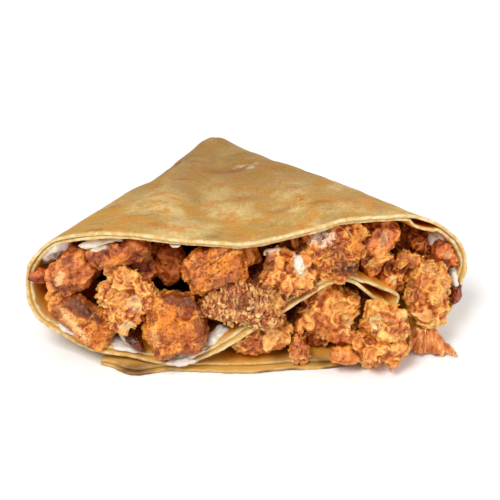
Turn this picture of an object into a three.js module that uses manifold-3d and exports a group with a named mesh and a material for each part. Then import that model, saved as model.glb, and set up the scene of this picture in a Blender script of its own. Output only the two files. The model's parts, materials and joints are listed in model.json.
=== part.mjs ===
// A crispy crepe: a thin round crepe folded in half and rolled into a flat cone round pieces of
// fried and grilled chicken with white sauce. Millimetres, +Z up. The cone lies on its side, with
// its tip towards +Y and its open mouth towards -Y. The origin is on the face it rests on.
import * as THREE from "three";
import { ImprovedNoise } from "three/addons/math/ImprovedNoise.js";
import { mergeVertices } from "three/addons/utils/BufferGeometryUtils.js";
import Module from "manifold-3d";

// Driving dimensions
const CREPE_RADIUS = 200; // a 40 cm crepe: every point of its rim is this far from the tip
const LAYER = 1.45; // thickness of one layer of crepe
const SLIT = 0.3; // between the two layers of the folded crepe
const STACK_GAP = 0.2; // between two turns of the roll that lie on each other
const CLEARANCE = 0.35; // between neighbouring pieces
const TIP = new THREE.Vector3(-18.5, 102, 6); // where all the folds meet
const RIM_WAVE = 0.5; // how far the uneven rim strays from the circle
const RIM_WAVES = [0.83, 2.1, 4.7]; // its waves, in turns of a radian for each row of MOUTH
const SAG = 0.045; // how far the roll sags below a straight cone, as a share of its height
const TIP_PRESS = 0.8; // share of its height that the tip keeps where it is pressed flat
const TIP_ROUNDING = 9; // distance over which the blunt tip thickens to its full height
const TIP_SKIN = 0.15; // how much further out the tip's skin lies than the sheet's
const TIP_TUCK = 0.5; // and how far inside the sheet the tip ends, so that the two join
const TIP_STATIONS = [0.8, 3, 7, 15, 30]; // distances from the tip at which its sections are taken
const TIP_CORNERS = 44; // corners of each of those sections
const SHEET_STATIONS = [0, 0.22, 0.44, 0.64, 0.81, 0.93]; // and the sheet's, as shares of its length
const SLIT_DEPTH = 26; // how far in from the rim the two layers show as separate
const GAPE_START = 45; // distance from the rim at which the inner layer begins to hang off
const GAPE_END = 5; // and at which it hangs off by its full gap
const ROLL_START = 50; // distance from the tip at which the turns become separate
const TIP_END = 60; // distance from the tip at which the solid tip ends
const CORE_START = 63; // the packed filling reaches from here
const CORE_END = 160; // to here, and the loose pieces lie in front of it
const CORE_INSET = 1.8; // between it and the sheet
const CORE_BUMPS = 7; // relief of its face towards the mouth
const CORE_CORNERS = 30; // corners of its sections
const CORE_FACE_STEPS = [0.72, 0.42, 0.16]; // that face's rings, as shares of its outline
const FACE_TILT = THREE.MathUtils.degToRad(32.5); // the face of the filling leans back by this much

const SHEET = 2 * LAYER + SLIT;

// The rolled sheet's middle line round the mouth, from the fold at its outer end to the one at its
// inner end: x and z in millimetres; the turn it lies on once flattened, from 0 at the bottom to 2
// on top; how far the inner layer hangs off the outer one; and how far back its rim stands.
const MOUTH = [
  // along the table, from the outer fold
  [-62.8, 1.6, 0, 0.1, 1],
  [-53, 1.6, 0, 0.2, 2],
  [-42, 1.6, 0, 0.2, 2],
  [-26, 1.6, 0, 0.5, 3],
  [-8, 1.6, 0, 0.3, 4],
  [12, 1.6, 0, 0.4, 4.5],
  [32, 1.6, 0, 0.4, 4],
  [50, 1.6, 0, 0.2, 3],
  [66, 1.7, 0, 0, 2],
  // up the right side
  [76, 3, 0.1, 0, 2],
  [83, 6.8, 0.3, 0, 2],
  [88, 12.8, 0.6, 0, 2],
  [91.6, 19.5, 0.9, 0, 2],
  [93, 27, 1.1, 0, 2],
  [93, 34, 1.3, 0, 2],
  [90, 42.5, 1.6, 0, 2],
  [84, 50, 1.8, 0, 2],
  [78.5, 54.6, 2, 1.6, 2],
  [73, 58, 2, 2.2, 2],
  // over the top, with a lobe on each side of a sag
  [67, 60.6, 2, 0.2, 2],
  [58, 62.6, 2, 0, 2],
  [47, 64, 2, 0, 2],
  [37, 64.8, 2, 0, 2],
  [28, 63.4, 2, 0, 2],
  [18, 61.2, 2, 0, 3],
  [8, 59.8, 2, 0, 3],
  [-3, 58.8, 2, 0, 3],
  [-14, 59.6, 2, 0, 3],
  [-26, 60.6, 2, 0, 3],
  [-38, 61.8, 2, 0, 2],
  [-50, 62.3, 2, 0, 1],
  [-61, 61.4, 2, 0.3, 1],
  [-71, 59.4, 2, 0.7, 1],
  // down the left side
  [-80, 56, 2, 0.5, 1],
  [-87, 50.6, 1.8, 0.2, 2],
  [-92, 43.5, 1.6, 0, 2],
  [-94.3, 35, 1.4, 0, 2],
  [-93.5, 27, 1.2, 0, 2],
  [-90, 20, 1.1, 0, 2],
  [-83, 14.8, 1, 0, 2],
  [-74, 10.8, 1, 0, 2],
  // over the outer end, and up through the filling as a partition
  [-64, 8.3, 1, 0.2, 2],
  [-52, 6.8, 1, 0.4, 3],
  [-40, 5.6, 1, 0.2, 3],
  [-29, 5.5, 1, 0, 3],
  [-20, 8.6, 1, 0, 3],
  [-11, 14.2, 1, 0, 3],
  [-1, 20.8, 1, 0, 4],
  [9, 26.2, 1, 0, 4],
  [20, 33, 1, 0, 4],
  [29, 38.4, 1, 0, 2],
  [37, 40.8, 1, 0, 0],
  [43.5, 39.4, 1, 0.2, 0],
  // the loose inner end, which gapes
  [49, 34.4, 1, 2, 0],
  [54.5, 28.4, 1, 3.8, 0],
  [61, 23.6, 1, 3.8, 0],
];
const OUTER_END_ROW = 41; // the row of MOUTH at which the roll passes over its own outer end
const SAMPLES_PER_ROW = 1.15; // points round the mouth for each row of MOUTH

// Where the rim runs past its circle: the x and width of each lobe and how far it sticks out
const RIM_LOBES = [
  [-49, 8, 4],
  [40, 22, 4.5],
  [2, 26, 1.5],
];

// Where the filling pushes the top up, or leaves it hollow: the x at the mouth, the distance from
// the tip, the width, the length, and the height
const SWELLS = [
  [-42, 150, 11, 42, 2.2],
  [-22, 142, 8, 36, -1.8],
  [2, 128, 12, 40, 1.6],
  [24, 150, 9, 34, -0.7],
  [45, 160, 14, 30, 1],
  [52, 92, 12, 16, -1.4],
  [-64, 118, 8, 16, -1.6],
  [-66, 84, 12, 18, 1.2],
  [8, 78, 24, 9, -1.1],
  [66, 130, 12, 30, 0.9],
  [-82, 71, 13, 28, -5.8],
  [76, 44, 14, 26, -3],
  [-60, 18, 40, 12, 4],
];

// Styles of filling: how boxy a piece is, its relief, and its material
const MATERIALS = {
  crepe: { color: 0xd9b878, roughness: 0.62 },
  crusty: { color: 0xc97a3a, roughness: 0.75 },
  grilled: { color: 0xb9642c, roughness: 0.5 },
  flaky: { color: 0xdd9a4c, roughness: 0.7 },
  sauce: { color: 0xe6e0d2, roughness: 0.3 },
  burnt: { color: 0x3c1b10, roughness: 0.35 },
  core: { color: 0x6b3217, roughness: 0.8 },
};
const STYLES = {
  crusty: { box: 4.4, lumps: 0.2, crags: 0.1 },
  grilled: { box: 5.2, lumps: 0.14, crags: 0.05 },
  flaky: { box: 3, lumps: 0.28, crags: 0.15 },
  sauce: { box: 2.1, lumps: 0.14, crags: 0.0 },
  burnt: { box: 2.6, lumps: 0.2, crags: 0.08 },
};

// Every loose piece: name, style, centre in millimetres, then its width, height and depth as seen
// on the leaning face, how far it is rolled on that face in degrees, and the fineness of its mesh.
// The front pieces come first, because a later piece gives way to an earlier one.
const PIECES = [
  ["crusty_front_left", "crusty", [-52.5, -85, 30], [20, 20, 18], 42, 3],
  ["crusty_centre", "crusty", [-2.5, -88, 30], [33, 16, 16], -14, 3],
  ["grilled_low_centre", "grilled", [-31, -90, 20], [24, 25.5, 19], 12, 2],
  ["grilled_low_left", "grilled", [-72, -83.5, 18], [31, 14.5, 15], -40, 2],
  ["crusty_left", "crusty", [-75.5, -77, 38.5], [20, 15, 16], 34, 2],
  ["grilled_top_centre", "grilled", [-15, -83.5, 44.5], [24, 17.5, 16], 18, 2],
  ["crusty_right_centre", "crusty", [17, -83, 41.3], [21.5, 16, 16], -16, 3],
  ["charred_right", "crusty", [35, -77.5, 49], [21, 21, 17], -6, 2],
  ["flaky_far_right", "flaky", [76.8, -73, 25], [18.5, 25.5, 17], -6, 3],
  ["crusty_low_right", "flaky", [57.5, -90, 20.5], [18, 15, 15], -10, 2],
  ["flaky_low_front", "flaky", [54.8, -93, 11], [20, 15, 16], 4, 2],
  ["flaky_mid_right", "flaky", [34, -82, 22.5], [22, 18.5, 16], -8, 3],
  ["flaky_low_centre", "flaky", [4.5, -88, 12], [26, 11.5, 14], 12, 2],
  ["flaky_lobe_centre", "flaky", [10, -92.5, 16.8], [9, 8, 7], -20, 1],
  ["crusty_top_left", "crusty", [-55, -79, 49], [24, 9.5, 13], 8, 1],
  ["smooth_top_right", "flaky", [53.5, -67, 45.5], [13.5, 20, 14], -24, 2],
  ["crusty_upper_right", "crusty", [64, -63.5, 29.5], [18, 13.5, 13], 12, 1],
  ["round_far_right", "crusty", [85.5, -57.5, 35], [12.5, 12.5, 12], 0, 2],
  ["smooth_low_front", "flaky", [39.9, -97, 9], [11.5, 7, 8], -12, 1],
  ["nub_low_front", "flaky", [60.3, -98.3, 6.6], [5.6, 5.2, 6], -30, 1],
  ["flaky_low_bit", "flaky", [41, -90, 13.5], [12, 8, 9], 0, 1],
  ["crumb_low_centre", "flaky", [20.5, -91, 10], [7, 13, 8], 8, 1],
  ["grilled_top_inner", "grilled", [-1.5, -76.5, 47], [11, 10, 10], 24, 1],
  ["grilled_left_back", "grilled", [-34.2, -68, 37.5], [13, 20, 13], 10, 1],
  ["crusty_mid_back", "crusty", [-46, -68.5, 36.5], [13, 15, 12], 10, 1],
  ["crusty_small_right", "crusty", [75, -51.5, 37], [10.5, 11, 9], 10, 1],
  ["glazed_far_right", "burnt", [89.8, -67, 19.5], [5, 8.5, 5], -22, 1],
  ["nub_far_left", "crusty", [-89.7, -79, 38], [8.5, 6, 7], 4, 1],
  ["crusty_top_bit", "crusty", [20, -71.5, 47.5], [13, 9.5, 9], 30, 1],
  ["crusty_centre_back", "crusty", [0, -74, 31], [12, 8, 9], 12, 1],
  ["back_low_right", "flaky", [27, -79.5, 12], [17, 14, 10], -20, 1],
  ["back_centre", "crusty", [6, -66, 38], [12, 11, 10], 0, 1],
  ["back_mid_right", "crusty", [52, -62, 18], [14, 11, 10], 0, 1],
  ["back_top_right", "flaky", [66.5, -46, 36], [9, 11, 9], 8, 1],
  ["grilled_left_bit", "grilled", [-87.1, -76, 18], [6, 8, 6], -20, 1],
  ["burnt_bit", "burnt", [-49, -92, 12.2], [9.5, 4.8, 5], -42, 1],
  ["sauce_left", "sauce", [-79.5, -73, 45.5], [12, 12.5, 6], 45, 1],
  ["sauce_top_left", "sauce", [-62, -80, 54.5], [20, 6, 6], 6, 1],
  ["sauce_low_centre", "sauce", [-16, -92, 12.5], [4.5, 18, 5], -32, 1],
  ["sauce_foot", "sauce", [-29.3, -98.5, 6.5], [15.5, 4, 6], 4, 1],
  ["sauce_right_centre", "sauce", [20.3, -90.5, 50.2], [5, 8, 4], 8, 1],
  ["sauce_top_centre", "sauce", [9.5, -84.5, 53], [9, 3.5, 5], 14, 1],
  ["sauce_drip", "sauce", [-31, -87, 58.5], [6, 4, 4], -12, 1],
  ["sauce_top_right", "sauce", [81, -56.5, 41.5], [7.5, 8, 5], -20, 1],
  ["sauce_low_right", "sauce", [89.5, -64.5, 25.5], [3.5, 9.5, 4], 14, 1],
  ["sauce_low_left", "sauce", [-82.5, -81, 13.4], [10, 3.5, 4], -42, 1],
  ["sauce_floor", "sauce", [-52, -90.5, 11.2], [11, 3, 4], -45, 1],
];

// The ruffled fan of crisp batter that sticks out low on the right: where its folds spring from,
// the directions that it spans on the leaning face in degrees, and the sizes of its folds.
const FAN = {
  root: new THREE.Vector3(76.5, -80.5, 14.6),
  from: -156,
  to: -47,
  folds: 4,
  length: 13.6,
  tipLength: 18.6,
  uneven: 2.4,
  ruffle: 2,
  thickness: 2.8,
  lean: 12,
  clearOfTable: 0.6,
};

const wasm = await Module();
wasm.setup();
const noise = new ImprovedNoise();

// Smooth noise of the given scale at a point, from -1 to 1
function ripple(p, scale, seed = 0) {
  return noise.noise(p.x * scale + seed, p.y * scale - seed, p.z * scale + 3 * seed);
}

// Smoothly from 0 at a to 1 at b
function ramp(a, b, v) {
  return THREE.MathUtils.smoothstep(v, a, b);
}

// A manifold-3d solid from corner points and triangles
function solidOf(points, triangles) {
  const vertProperties = new Float32Array(points.flatMap((p) => [p.x, p.y, p.z]));
  const triVerts = new Uint32Array(triangles.flat());
  return new wasm.Manifold(new wasm.Mesh({ numProp: 3, vertProperties, triVerts }));
}

// The same, with the triangles turned round if they face inwards
function outward(points, triangles) {
  const made = solidOf(points, triangles);
  return made.volume() > 0 ? made : solidOf(points, triangles.map(([a, b, c]) => [a, c, b]));
}

// The largest body of a solid, which drops the loose scraps that a cut leaves
function largest(solid) {
  return solid.decompose().reduce((a, b) => (a.volume() > b.volume() ? a : b));
}

// A named mesh from a solid
function meshOf(name, material, solid) {
  const made = solid.getMesh();
  const geometry = new THREE.BufferGeometry();
  const positions = new Float32Array(made.numVert * 3);
  for (let i = 0; i < made.numVert; i++) {
    const start = i * made.numProp;
    positions.set(made.vertProperties.subarray(start, start + 3), i * 3);
  }
  geometry.setAttribute("position", new THREE.BufferAttribute(positions, 3));
  geometry.setIndex(new THREE.BufferAttribute(made.triVerts, 1));
  geometry.computeVertexNormals();
  const mesh = new THREE.Mesh(geometry, new THREE.MeshStandardMaterial(MATERIALS[material]));
  mesh.name = name;
  return mesh;
}

// The mouth line's values at row number u, on a smooth curve through the rows
function mouthAt(u) {
  const last = MOUTH.length - 1;
  const i = Math.min(Math.floor(u), last - 1);
  const t = u - i;
  const row = (k) => MOUTH[THREE.MathUtils.clamp(k, 0, last)];
  const span = (a, b) => Math.hypot(row(b)[0] - row(a)[0], row(b)[1] - row(a)[1]) || 1;
  const length = span(i, i + 1);
  const before = length + (i > 0 ? span(i - 1, i) : 0);
  const after = length + (i + 2 <= last ? span(i + 1, i + 2) : 0);
  return row(i).map((a, k) => {
    const b = row(i + 1)[k];
    const leave = ((b - row(i - 1)[k]) / before) * length;
    const arrive = ((row(i + 2)[k] - a) / after) * length;
    const t2 = t * t;
    const t3 = t2 * t;
    return (
      a * (2 * t3 - 3 * t2 + 1) + leave * (t3 - 2 * t2 + t) + b * (3 * t2 - 2 * t3) + arrive * (t3 - t2)
    );
  });
}

// How far the top swells at the line of the mouth's x and distance r from the tip
function swell(x, r) {
  const near = (value, middle, width) => Math.exp(-(((value - middle) / width) ** 2));
  const heights = SWELLS.map(([sx, sr, width, length, out]) => out * near(x, sx, width) * near(r, sr, length));
  return heights.reduce((a, b) => a + b) * Math.sin(Math.PI * Math.min(r / CREPE_RADIUS, 1)) ** 0.5;
}

// The middle of the rolled sheet at mouth row u and distance r from the tip
function sheetPoint(u, r) {
  const [x, z, level] = mouthAt(u);
  const share = r / CREPE_RADIUS;
  const dx = x - TIP.x;
  const dy = Math.sqrt(CREPE_RADIUS ** 2 - dx ** 2 - (z - TIP.z) ** 2);
  const flat = SHEET / 2 + level * (SHEET + STACK_GAP);
  const lift = share - SAG * Math.sin(Math.PI * Math.sqrt(Math.min(share, 1)));
  const p = new THREE.Vector3(TIP.x + dx * share, TIP.y - dy * share, flat + (z - flat) * lift);
  p.z += ramp(1.4, 2, level) * swell(x, r);
  p.z *= THREE.MathUtils.lerp(TIP_PRESS, 1, ramp(0, ROLL_START, r));
  return p;
}

// The outward side of the sheet at that place
function sheetNormal(u, r) {
  const du = 0.02;
  const a = Math.max(u - du, 0);
  const b = Math.min(u + du, MOUTH.length - 1);
  const along = sheetPoint(b, r).sub(sheetPoint(a, r));
  const out = sheetPoint(u, r + 0.5).sub(sheetPoint(u, r - 0.5));
  return along.cross(out).normalize();
}

// How far the sheet's outer rim is from the tip at mouth row u
function reachAt(u) {
  const wave = RIM_WAVES.map((rate) => Math.sin(rate * u + 2 * rate)).reduce((a, b) => a + b);
  const [x, , level] = mouthAt(u);
  const bottom = 1 - ramp(0, 0.2, level);
  const lobes = RIM_LOBES.map(([middle, width, out]) => out * Math.exp(-(((x - middle) / width) ** 2)));
  return CREPE_RADIUS + RIM_WAVE * wave + bottom * Math.max(...lobes);
}

// One closed line round the folded sheet, along its outer side, round the fold at its inner end,
// back along its inner side and round the other fold. Each place has a mouth row, a share of the
// way from the outer side (1) to the inner one (-1), and how far it lies past the end of the sheet.
function sheetLoop() {
  const last = MOUTH.length - 1;
  const count = Math.round(last * SAMPLES_PER_ROW);
  const places = [];
  for (let i = 0; i <= count; i++) places.push({ u: (last * i) / count, side: 1, past: 0 });
  places.push({ u: last, side: 0.7, past: 0.7 }, { u: last, side: -0.7, past: 0.7 });
  for (let i = count; i >= 0; i--) places.push({ u: (last * i) / count, side: -1, past: 0 });
  places.push({ u: 0, side: -0.7, past: -0.7 }, { u: 0, side: 0.7, past: -0.7 });
  return places;
}

// A point of the sheet's skin. Depth is 1 on the outside of the sheet and 0 on the slit's wall.
function skinPoint(place, r, depth, grow) {
  const { u, side, past } = place;
  const gap = mouthAt(u)[3] * ramp(CREPE_RADIUS - GAPE_START, CREPE_RADIUS - GAPE_END, r);
  const outer = SLIT / 2 + depth * (LAYER + grow);
  const inner = outer + gap;
  const offset = side >= 0 ? side * outer : side * inner;
  const normal = sheetNormal(u, r);
  const p = sheetPoint(u, r).addScaledVector(normal, offset);
  if (past !== 0) {
    const end = u > 0 ? 1 : -1;
    const along = sheetPoint(u, r).sub(sheetPoint(u - 0.05 * end, r)).normalize();
    p.addScaledVector(along, Math.abs(past) * (outer + gap * 0.25));
  }
  p.z = Math.max(p.z, 0);
  return p;
}

// Joins rings of equal length into bands of triangles. The rings run anticlockwise as seen from
// the last ring, and both ends stay open.
function bands(rings, count) {
  const triangles = [];
  for (let j = 0; j + 1 < rings; j++) {
    for (let i = 0; i < count; i++) {
      const a = j * count + i;
      const b = j * count + ((i + 1) % count);
      triangles.push([a, b, a + count], [b, b + count, a + count]);
    }
  }
  return triangles;
}

// The rolled sheet from ROLL_START to its rim. With a slit, its two layers show near the rim.
function rolledSheet(slit, grow) {
  const loop = sheetLoop();
  const count = loop.length;
  const rings = [];
  const reach = (place) => reachAt(place.u) - (slit && place.side < 0 ? mouthAt(place.u)[4] : 0);
  const ringAt = (radius, depth) => loop.map((place) => skinPoint(place, radius(place), depth, grow));
  for (const share of SHEET_STATIONS) {
    rings.push(ringAt((place) => THREE.MathUtils.lerp(ROLL_START, reach(place), share), 1));
  }
  rings.push(ringAt((place) => reach(place) + grow, 1));
  if (slit) {
    rings.push(ringAt(reach, 0));
    rings.push(ringAt((place) => reach(place) - SLIT_DEPTH, 0));
  }
  const points = rings.flat();
  const triangles = bands(rings.length, count);
  // The start and the end of the sheet are closed by pairing its outer side with its inner side.
  const close = (start, flip) => {
    const half = (count - 4) / 2;
    const across = (i) => count - 3 - i;
    const strip = [];
    for (let i = 0; i + 1 < half; i++) {
      strip.push([start + i, start + i + 1, start + across(i)]);
      strip.push([start + i + 1, start + across(i + 1), start + across(i)]);
    }
    const inner = half - 1;
    strip.push([start + inner, start + half, start + across(inner)]);
    strip.push([start + half, start + half + 1, start + across(inner)]);
    strip.push([start + across(0), start + count - 1, start]);
    strip.push([start + across(0), start + count - 2, start + count - 1]);
    for (const t of strip) triangles.push(flip ? [t[0], t[2], t[1]] : t);
  };
  close(0, true);
  close(points.length - count, false);
  return outward(points, triangles);
}

// A closed body with the outline of the whole roll, with count corners a ring. The skin
// is offset from the middle of the sheet by skin(r), the first faces are rounded off over the
// distance given, and the last face is roughened by bumps.
function rollBody(stations, count, skin, rounding, bumps) {
  const points = [];
  for (const r of stations) {
    const ring = [];
    for (let i = 0; i < count; i++) {
      const u = (OUTER_END_ROW * i) / (count - 1);
      ring.push(sheetPoint(u, r).addScaledVector(sheetNormal(u, r), skin(r)));
    }
    const share = rounding ? Math.min((r - stations[0]) / rounding + 0.06, 1) : 1;
    const size = Math.sqrt(1 - (1 - share) ** 2);
    const centre = ring.reduce((sum, p) => sum.add(p), new THREE.Vector3()).divideScalar(count);
    for (const p of ring) {
      const q = centre.clone().lerp(p, size);
      q.z = Math.max(q.z, 0);
      points.push(q);
    }
  }
  // The last face shrinks towards its middle in steps, so that it can be bumpy.
  const lastRing = points.slice(-count);
  const middle = lastRing.reduce((sum, p) => sum.add(p), new THREE.Vector3()).divideScalar(count);
  const shrink = bumps ? CORE_FACE_STEPS : [];
  for (const share of shrink) {
    for (const p of lastRing) {
      const q = middle.clone().lerp(p, share);
      const out = q.clone().sub(TIP).normalize();
      points.push(q.addScaledVector(out, bumps * ripple(q, 0.09, 2.5)));
    }
  }
  const rings = stations.length + shrink.length;
  const triangles = bands(rings, count);
  const firstMiddle = points.slice(0, count).reduce((sum, p) => sum.add(p), new THREE.Vector3());
  points.push(firstMiddle.divideScalar(count), middle);
  const back = rings * count;
  const lastStart = (rings - 1) * count;
  for (let i = 0; i < count; i++) {
    const next = (i + 1) % count;
    triangles.push([next, i, back], [lastStart + i, lastStart + next, back + 1]);
  }
  return outward(points, triangles);
}

// The crepe: the rolled sheet, with the tip where its layers are pressed together as one solid
function crepe() {
  const stations = [...TIP_STATIONS, ROLL_START, TIP_END];
  const skin = (r) => SHEET / 2 + (r <= ROLL_START ? TIP_SKIN : -TIP_TUCK);
  const tip = rollBody(stations, TIP_CORNERS, skin, TIP_ROUNDING, 0);
  return largest(rolledSheet(true, 0).add(tip));
}

// The packed filling behind the loose pieces, which fills the roll on both sides of the partition
function packedFilling(fatSheet) {
  const inset = -(SHEET / 2 + CORE_INSET);
  const stations = [CORE_START, (CORE_START + CORE_END) / 2, CORE_END];
  const body = rollBody(stations, CORE_CORNERS, () => inset, 0, CORE_BUMPS);
  return largest(body.subtract(fatSheet));
}

// A rounded lump of unit size with relief, scaled to its sizes, as corner points and triangles
function lump(style, size, grow, seed, detail) {
  const { box, lumps, crags } = STYLES[style];
  const ball = new THREE.IcosahedronGeometry(1, detail);
  ball.deleteAttribute("normal");
  ball.deleteAttribute("uv");
  const merged = mergeVertices(ball, 1e-4);
  const position = merged.getAttribute("position");
  const points = [];
  for (let i = 0; i < position.count; i++) {
    const p = new THREE.Vector3().fromBufferAttribute(position, i).normalize();
    const reach = (Math.abs(p.x) ** box + Math.abs(p.y) ** box + Math.abs(p.z) ** box) ** (-1 / box);
    const ridge = 1 - 2 * Math.abs(ripple(p, 2.9, seed + 11));
    const relief = 1 + lumps * ripple(p, 1.5, seed) + crags * ridge;
    p.multiplyScalar((reach * relief) / 2).multiply(new THREE.Vector3(...size));
    points.push(p.setLength(p.length() + grow));
  }
  const index = Array.from(merged.index.array);
  const triangles = [];
  for (let i = 0; i < index.length; i += 3) triangles.push(index.slice(i, i + 3));
  return { points, triangles };
}

// A solid lump placed on the leaning face of the filling
function pieceSolid([, style, centre, size, roll, detail], index, grow) {
  const { points, triangles } = lump(style, size, grow, 1.7 * index + 0.4, detail);
  const turn = new THREE.Euler(Math.PI / 2 - FACE_TILT, 0, THREE.MathUtils.degToRad(roll), "XYZ");
  const place = new THREE.Matrix4().makeRotationFromEuler(turn).setPosition(...centre);
  return solidOf(points.map((p) => p.applyMatrix4(place)), triangles);
}

// The fan of batter: a wavy sheet whose folds spread from its root, longest at its right-hand tip
function fanSolid(grow) {
  const across = FAN.folds * 4;
  const down = 3;
  const tilt = Math.PI / 2 - FACE_TILT + THREE.MathUtils.degToRad(FAN.lean);
  const lean = new THREE.Matrix4().makeRotationX(tilt);
  const pointAt = (i, j, side) => {
    const a = THREE.MathUtils.degToRad(THREE.MathUtils.mapLinear(i, 0, across, FAN.from, FAN.to));
    const wave = Math.cos((2 * Math.PI * i) / 4);
    const tip = ramp(across - 5, across - 1, i);
    const uneven = FAN.uneven * noise.noise(i * 0.37, 5.3, 0.7);
    const length = THREE.MathUtils.lerp(FAN.length, FAN.tipLength, tip) + uneven + grow;
    const out = THREE.MathUtils.lerp(1.5 - grow, length, j / down);
    const lift = FAN.ruffle * wave * (j / down) + side * (FAN.thickness / 2 + grow);
    const edge = (i === 0 ? -grow : 0) + (i === across ? grow : 0);
    const x = out * Math.cos(a) - edge * Math.sin(a);
    const y = out * Math.sin(a) + edge * Math.cos(a);
    const p = new THREE.Vector3(x, y, lift).applyMatrix4(lean).add(FAN.root);
    p.z = Math.max(p.z, FAN.clearOfTable - grow);
    return p;
  };
  const points = [];
  const triangles = [];
  const columns = down + 1;
  const back = (across + 1) * columns;
  for (const side of [1, -1]) {
    for (let i = 0; i <= across; i++) {
      for (let j = 0; j <= down; j++) points.push(pointAt(i, j, side));
    }
  }
  const quad = (a, b, c, d) => triangles.push([a, b, c], [a, c, d]);
  for (let i = 0; i < across; i++) {
    const here = i * columns;
    const next = here + columns;
    for (let j = 0; j < down; j++) {
      quad(here + j, here + j + 1, next + j + 1, next + j);
      quad(back + here + j, back + next + j, back + next + j + 1, back + here + j + 1);
    }
    quad(here, next, back + next, back + here);
    quad(here + down, back + here + down, back + next + down, next + down);
  }
  const last = across * columns;
  for (let j = 0; j < down; j++) {
    quad(j, back + j, back + j + 1, j + 1);
    quad(last + j, last + j + 1, back + last + j + 1, back + last + j);
  }
  return outward(points, triangles);
}

// All the loose pieces, each cut clear of the sheet and of the pieces before it
function loosePieces(fatSheet) {
  const placed = [];
  const made = [];
  const place = (name, style, solid, fat) => {
    let cut = solid.subtract(fatSheet);
    for (const other of placed) cut = cut.subtract(other);
    cut = largest(cut);
    placed.push(fat);
    made.push(meshOf(name, style, cut));
  };
  PIECES.forEach((row, i) => {
    place(row[0], row[1], pieceSolid(row, i, 0), pieceSolid(row, i, CLEARANCE));
    if (row[0] === "flaky_low_front") place("batter_fan", "flaky", fanSolid(0), fanSolid(CLEARANCE));
  });
  return made;
}

const fatSheet = rolledSheet(false, CLEARANCE);
const crispyCrepe = new THREE.Group();
crispyCrepe.add(meshOf("crepe", "crepe", crepe()));
crispyCrepe.add(meshOf("packed_filling", "core", packedFilling(fatSheet)));
crispyCrepe.add(...loosePieces(fatSheet));

export default crispyCrepe;
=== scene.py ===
"""The looks of a crispy crepe: a thin rolled crepe packed with fried and grilled chicken and sauce.

The shapes are worked out in millimetres, in the CAD part's own frame, and turned into metres
where a mesh is made. The cone's tip points to +Y, and its mouth faces -Y.
"""

import itertools
import json
import math

import bmesh
import bpy
import numpy as np
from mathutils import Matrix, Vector


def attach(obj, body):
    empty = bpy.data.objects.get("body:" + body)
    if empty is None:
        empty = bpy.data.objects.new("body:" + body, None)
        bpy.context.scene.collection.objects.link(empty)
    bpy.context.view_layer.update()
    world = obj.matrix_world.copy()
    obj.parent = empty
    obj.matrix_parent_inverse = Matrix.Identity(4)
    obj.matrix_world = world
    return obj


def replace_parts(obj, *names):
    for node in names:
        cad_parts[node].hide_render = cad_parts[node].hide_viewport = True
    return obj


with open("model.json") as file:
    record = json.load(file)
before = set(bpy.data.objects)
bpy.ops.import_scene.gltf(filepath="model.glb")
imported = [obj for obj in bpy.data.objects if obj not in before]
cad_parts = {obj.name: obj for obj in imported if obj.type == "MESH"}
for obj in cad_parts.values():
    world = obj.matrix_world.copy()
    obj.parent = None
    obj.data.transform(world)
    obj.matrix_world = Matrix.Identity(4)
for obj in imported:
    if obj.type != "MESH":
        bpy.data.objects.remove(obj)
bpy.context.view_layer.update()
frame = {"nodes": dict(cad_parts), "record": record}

MM = 0.001

# The crepe's sizes, as in the part's source. Its sheet has two layers with a slit between them.
CREPE_RADIUS = 200.0
LAYER = 1.45
SLIT = 0.3
SLIT_DEPTH = 26.0
SHEET = 2 * LAYER + SLIT
STACK_GAP = 0.2
RIM_WAVE = 0.5
RIM_WAVES = (0.83, 2.1)
SAG = 0.045
ROLL_START = 50.0

# Between these turns the sheet becomes the top, which swells.
TOP_TURNS = (1.4, 2)

# The turns are pressed together towards the tip, which is a blunt piece of its own.
TIP = np.array([-18.5, 102.0, 6.0])
TIP_PRESS = 0.8
TIP_ROUNDING = 9.0
TIP_START = 0.8
TIP_SKIN = 0.15
TIP_TUCK = 0.5
TIP_END = 60.0

# Where the gap between the layers starts and is fully open, in millimetres behind the rim
GAPE_START = 45.0
GAPE_END = 5.0

# The last row of the mouth line that the blunt tip goes round
OUTER_END_ROW = 41

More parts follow.
